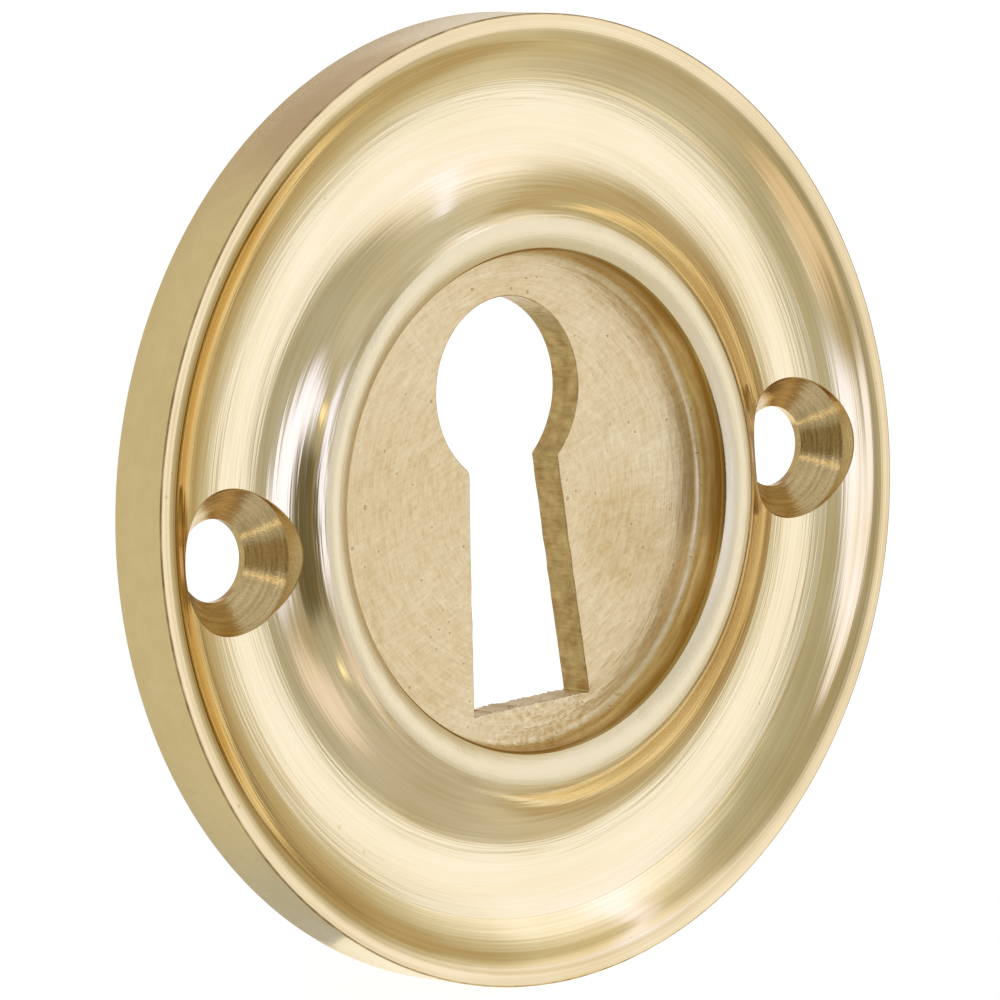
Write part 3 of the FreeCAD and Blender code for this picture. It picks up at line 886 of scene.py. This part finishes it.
def cove_brass():
    """The polished cove, with a painted dark orange reflection where it is steep."""
    metal = Metal("cove_brass", POLISHED, roughness=0.12, lift=0.4)
    steep = metal.radius.rise(*COVE_STEEP)
    # Painted reflection: the steep part is darkened towards the deep colour, most on the left
    metal.tone = metal.tone - steep * (metal.near(*COVE_PAINTED_REFLECTION) * COVE_REFLECTION_DARKENING + COVE_STEEP_DARKENING)
    metal.rings(pitch=0.12, depth=0.008, tone=0.6)
    metal.rings(pitch=0.5, depth=0.012)
    metal.waves(size=2.5, depth=0.02)
    return metal.finish()


def band_brass():
    """The satin band, full of lathe lines."""
    metal = Metal("band_brass", SATIN, roughness=0.24)
    metal.rings(pitch=0.13, depth=0.014, wander=3.0, tone=1.0, spread=0.15)
    metal.rings(pitch=0.5, depth=0.025, wander=2.5, tone=0.5)
    metal.nicks(BAND_NICKS, depth=-0.004, tone=-1.5)
    return metal.finish()


def flank_brass():
    """The flank, turned and then half polished, so that its lines still show."""
    metal = Metal("flank_brass", TURNED, roughness=0.13, lift=0.25)
    # Painted shade: darker towards the lower right, to dim the reflection there
    metal.mark(metal.near(*FLANK_PAINTED_SHADE), tone=-FLANK_SHADE_DARKENING)
    metal.rings(pitch=0.13, depth=0.009, wander=2.5, tone=0.6, spread=0.1)
    metal.rings(pitch=0.6, depth=0.016, wander=2.0, tone=0.25)
    return metal.finish()


def shoulder_brass():
    """The bead's outer shoulder: turned only, so that it glitters."""
    metal = Metal("shoulder_brass", TURNED, roughness=0.2, lift=0.25)
    # Painted shade: darker towards the lower right, to dim the reflection there
    metal.mark(metal.near(*FLANK_PAINTED_SHADE), tone=-FLANK_SHADE_DARKENING)
    metal.rings(pitch=0.12, depth=0.014, wander=5.0, tone=0.9, spread=0.15)
    metal.rings(pitch=0.35, depth=0.016, wander=5.0, tone=0.4)
    return metal.finish()


def bead_brass():
    """The buffed bead."""
    metal = Metal("bead_brass", BUFFED, roughness=0.42, lift=0.4)
    metal.rings(pitch=0.2, depth=0.015, wander=3.0, tone=0.7)
    metal.waves(size=1.1, depth=0.03)
    metal.grain(size=0.16, depth=0.012, tone=0.9)
    return metal.finish()


def recess_brass():
    """The dull wall of the recess, painted dark as shade and darkest under the bead; its lines run along it,
    each at its own depth.
    """
    # Painted shade: the whole wall is darkened, and lightened again towards its foot
    metal = Metal("recess_brass", DULL, roughness=0.22, lift=-0.5)
    metal.mark(metal.depth.rise(*WALL_SHADE_DEPTHS), tone=WALL_SHADE_FADE)
    metal.radius = metal.depth
    metal.rings(pitch=0.5, depth=0.02, wander=1.0, tone=1.1)
    return metal.finish()


def floor_brass():
    """The faced floor of the recess: rings, chatter, scratches and pits on a matt ground.

    It is stained right of the slot and scoured below the keyhole's foot.
    """
    metal = Metal("floor_brass", FACED, roughness=0.42)
    metal.rings(pitch=0.09, depth=0.013, wander=6.0, tone=0.6)
    metal.rings(pitch=0.45, depth=0.035, wander=7.0, tone=0.5)
    metal.chatter(count=46, length=4.0, depth=0.012, tone=0.4)
    metal.strokes(angle=18, length=1.6, width=0.16, depth=0.006, tone=0.4)
    metal.grain(size=0.3, depth=0.04, tone=1.8, where=metal.near(*SCOUR) * SCOUR_GRAIN + FLOOR_GRAIN)
    metal.mark(metal.cloud * metal.near(*STAIN), tone=-STAINED)
    metal.specks(size=0.3, share=0.225, depth=-0.015, tone=-1.2)
    return metal.finish()


def side_brass():
    """The smooth outer edge of the disc, whose lines run round it, each at its own depth."""
    metal = Metal("side_brass", MILLED, roughness=0.22)
    metal.radius = metal.depth
    metal.rings(pitch=0.2, depth=0.006, wander=4.0, tone=0.7)
    metal.grain(size=0.9, depth=0.008, tone=0.8)
    metal.waves(size=3.0, depth=0.06)
    metal.specks(size=0.3, share=0.17, depth=-0.004, tone=-1.0)
    return metal.finish()


def hole_brass(name, side):
    """A countersink with the rings that its cutter left."""
    metal = Metal(name, DRILLED, roughness=0.17, centre=(side * SCREW_REACH, -SCREW_DROP))
    metal.rings(pitch=0.09, depth=0.008, wander=1.2, tone=1.0, spread=0.1)
    metal.rings(pitch=0.3, depth=0.012, wander=1.0, tone=0.4)
    metal.grain(size=0.12, depth=0.006, tone=0.8)
    return metal.finish()


def keyhole_brass():
    """The filed wall of the keyhole."""
    metal = Metal("keyhole_brass", FILED, roughness=0.36)
    metal.grain(size=0.7, depth=0.025, tone=1.6)
    metal.strokes(angle=35, length=0.8, width=0.12, depth=0.02, tone=0.9)
    return metal.finish()


def foot_brass():
    """The keyhole's foot, torn and crumbly where the saw left it."""
    metal = Metal("foot_brass", CRUMBLED, roughness=0.5, lift=0.7)
    metal.grain(size=0.18, depth=0.03, tone=2.0)
    metal.specks(size=0.22, share=0.3, depth=-0.04, tone=-1.5)
    return metal.finish()


def back_brass():
    """The flat back."""
    metal = Metal("back_brass", FACED, roughness=0.4)
    metal.rings(pitch=0.15, depth=0.02, wander=3.0, tone=0.9)
    metal.grain(size=0.2, depth=0.01, tone=0.6)
    return metal.finish()


# The disc's finishes, in the order of its material slots
FINISHES = {
    "edge": edge_dark_reflection_brass,
    "lip": lip_brass,
    "cove": cove_brass,
    "band": band_brass,
    "flank": flank_brass,
    "shoulder": shoulder_brass,
    "bead": bead_brass,
    "recess": recess_brass,
    "floor": floor_brass,
    "side": side_brass,
    "left_hole": lambda: hole_brass("left_hole_brass", -1),
    "right_hole": lambda: hole_brass("right_hole_brass", 1),
    "keyhole": keyhole_brass,
    "foot": foot_brass,
    "back": back_brass,
}


# Surroundings

# What the metal mirrors where no soft box hangs
ROOM_LIGHT = (0.47, 0.47, 0.45, 1)
SOFT_BOXES = [
    # A light's reach in degrees: azimuth from straight ahead of the face (+ to the right),
    # elevation, how far its sides lean over and how soft its edges are; then its colour
    ((-180, -75), (-90, 90), 0.0, 12, (0.60, 0.57, 0.47)),
    ((132, 180), (5, 60), 0.0, 8, (0.46, 0.38, 0.36)),
    ((-60, 80), (36, 90), 0.0, 8, (0.60, 0.60, 0.60)),
    ((-30, 80), (-90, -34), 0.0, 8, (0.57, 0.56, 0.57)),
    ((46, 66), (-60, 60), 0.0, 8, (0.66, 0.65, 0.62)),
    ((64, 84), (-60, 60), 0.0, 8, (0.52, 0.44, 0.31)),
    ((82, 124), (-90, 90), 0.0, 8, (0.56, 0.52, 0.40)),
    ((82, 124), (-30, 16), 0.0, 8, (0.24, 0.18, 0.11)),
    ((78, 124), (-26, 4), 0.0, 6, (0.18, 0.12, 0.06)),
    ((24, 52), (-30, 40), 0.0, 8, (0.90, 0.90, 0.98)),
    ((27, 50), (-18, 28), 0.0, 7, (1.12, 1.16, 1.45)),
    ((31, 52), (-24, -9), 0.0, 2, (1.12, 1.18, 1.5)),
    ((34, 38.5), (6, 46), 0.0, 1.5, (1.25, 1.35, 2.2)),
    ((-20, 4), (-46, -22), 0.0, 5, (0.90, 0.83, 0.92)),
    ((-26, -12), (-31, -18), 0.0, 4, (0.46, 0.42, 0.36)),
    ((-24, -3), (-16, 28), 0.3, 4, (1.2, 1.32, 2.2)),
    ((-75, -44), (-26, 16), 0.0, 3.5, (0.36, 0.29, 0.18)),
    ((-46, -27), (-26, 16), 0.0, 3.5, (0.14, 0.12, 0.07)),
    ((-60, -36), (24.5, 28), 0.0, 1.2, (1.9, 1.65, 1.25)),
    ((-60, -36), (-45, -41.5), 0.0, 1.2, (1.8, 1.6, 1.2)),
]

# The white background that the metal mirrors behind the object: from and to this azimuth, from and to
# this elevation, how soft its edges are and how much of it shows
BACKDROP = (132, 165, -25, 25)
BACKDROP_BLUR = 8
BACKDROP_SHARE = 0.6


def direction_shares(nodes):
    """Return a world direction's azimuth and elevation: 0 to 1 for -180 to 180 and for -90 to 90 degrees."""
    coordinates = nodes.add("ShaderNodeTexCoord")
    split = nodes.add("ShaderNodeSeparateXYZ", None, {"Vector": coordinates.outputs["Generated"]})
    x, y, z = [nodes.value(split, axis) for axis in "XYZ"]
    azimuth = x.math("ARCTAN2", x, 0 - y) / (2 * math.pi) + 0.5
    elevation = z.math("ARCSINE", z) / math.pi + 0.5
    return azimuth, elevation


def make_studio():
    """A plain room round the object: even light, soft boxes in front, and white behind."""
    world = bpy.data.worlds.new("studio")
    bpy.context.scene.world = world
    world.use_nodes = True
    nodes = Nodes(world.node_tree)
    azimuth, elevation = direction_shares(nodes)

    def patch(left, right, bottom, top, lean, blur):
        """Be 1 inside these azimuths and elevations, with sides that lean over."""
        across = azimuth + (elevation - 0.5) * (lean / 2) if lean else azimuth
        width = nodes.ramp(across, left / 360 + 0.5, right / 360 + 0.5, blur / 360)
        return width * nodes.ramp(elevation, bottom / 180 + 0.5, top / 180 + 0.5, blur / 180)

    light = ROOM_LIGHT
    for (left, right), (bottom, top), lean, blur, colour in SOFT_BOXES:
        light = nodes.blend(patch(left, right, bottom, top, lean, blur), light, (*colour, 1))

    # The camera sees white all round, and polished metal sees it behind the object
    rays = nodes.add("ShaderNodeLightPath")
    behind = patch(*BACKDROP, 0, BACKDROP_BLUR)
    mirrored = nodes.value(rays, "Is Glossy Ray") + nodes.value(rays, "Is Transmission Ray")
    white = nodes.value(rays, "Is Camera Ray") + mirrored * behind * BACKDROP_SHARE
    background = nodes.add("ShaderNodeBackground", None, {
        "Color": nodes.blend(white.math("MINIMUM", white, 1.0), light, (1, 1, 1, 1)),
        "Strength": 1.0,
    })
    nodes.add("ShaderNodeOutputWorld", None, {"Surface": background.outputs[0]})


# The camera: its place round the object and its roll in degrees, its distance, what it looks at, its
# lens, and the nearest that it sees
CAMERA_AZIMUTH = -40.908
CAMERA_ELEVATION = 8.289
CAMERA_ROLL = -4.479
CAMERA_DISTANCE = 424.84
CAMERA_TARGET = (0.5684, 0.0, -0.2222)
CAMERA_LENS = 329.4
SENSOR_WIDTH = 36.0
CAMERA_NEAREST = 10


def make_camera():
    """Put the camera where the photograph was taken from."""
    az, el = math.radians(CAMERA_AZIMUTH), math.radians(CAMERA_ELEVATION)
    back = Vector((math.sin(az) * math.cos(el), -math.cos(az) * math.cos(el), math.sin(el)))
    right = (-back).cross(Vector((0, 0, 1))).normalized()
    up = right.cross(-back)
    roll = Matrix.Rotation(math.radians(CAMERA_ROLL), 3, back)
    axes = Matrix((roll @ right, roll @ up, back)).transposed()
    data = bpy.data.cameras.new("camera")
    data.lens = CAMERA_LENS
    data.sensor_width = SENSOR_WIDTH
    data.clip_start = CAMERA_NEAREST * MM
    camera = bpy.data.objects.new("camera", data)
    spot = (Vector(CAMERA_TARGET) + back * CAMERA_DISTANCE) * MM
    camera.matrix_world = Matrix.Translation(spot) @ axes.to_4x4()
    bpy.context.scene.collection.objects.link(camera)
    bpy.context.scene.camera = camera


# The floor starts under the disc's face and runs back along the camera's line of sight: how far its
# near edge lies from the back, where that edge begins and ends, how far the far edge's ends lie to the
# side of the line of sight, and how far off they are. Then its paint, the white that it shows, and how
# much of that
FLOOR_FRONT = -4
FLOOR_NEAR = (-16, 40)
FLOOR_FAR = (-60, 80)
FLOOR_LENGTH = 900
FLOOR_PAINT = (0.9, 0.9, 0.9, 1)
FLOOR_GLOW = 1.65
FLOOR_GLOW_SHARE = 0.5


def make_floor():
    """A plain pale floor under the disc's edge; it reads white and keeps the disc's shadow."""
    az = math.radians(CAMERA_AZIMUTH)
    sight = np.array([-math.sin(az), math.cos(az)])
    aside = np.array([sight[1], -sight[0]])
    near = [np.array([x, FLOOR_FRONT]) for x in FLOOR_NEAR]
    far = [sight * FLOOR_LENGTH + aside * x for x in FLOOR_FAR]
    corners = [near[0], near[1], far[1], far[0]]
    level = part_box(NODE)[0].z
    mesh = bpy.data.meshes.new("floor")
    mesh.from_pydata([(x * MM, y * MM, level) for x, y in corners], [], [(0, 1, 2, 3)])
    floor = bpy.data.objects.new("floor", mesh)
    bpy.context.scene.collection.objects.link(floor)
    material, nodes = new_material("pale_floor")
    paint = nodes.add("ShaderNodeBsdfDiffuse", None, {"Color": FLOOR_PAINT})
    glow = nodes.add("ShaderNodeEmission", None, {"Color": (1, 1, 1, 1), "Strength": FLOOR_GLOW})
    rays = nodes.add("ShaderNodeLightPath")
    seen = nodes.value(rays, "Is Camera Ray") + nodes.value(rays, "Is Glossy Ray")
    seen = seen + nodes.value(rays, "Is Transmission Ray")
    mix = nodes.add("ShaderNodeMixShader", None, {
        0: seen.math("MINIMUM", seen, 1.0) * FLOOR_GLOW_SHARE,
        1: paint.outputs[0],
        2: glow.outputs[0],
    })
    nodes.add("ShaderNodeOutputMaterial", None, {"Surface": mix.outputs[0]})
    mesh.materials.append(material)
    floor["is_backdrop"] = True


bpy.context.scene.view_settings.view_transform = "Standard"
make_camera()
make_studio()
make_floor()
escutcheon = make_escutcheon()
for finish in FINISHES.values():
    escutcheon.data.materials.append(finish())
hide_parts(NODE)
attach(escutcheon, "root")

visual_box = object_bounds()
[[list(corner) for corner in box] for box in (cad_box, visual_box)]
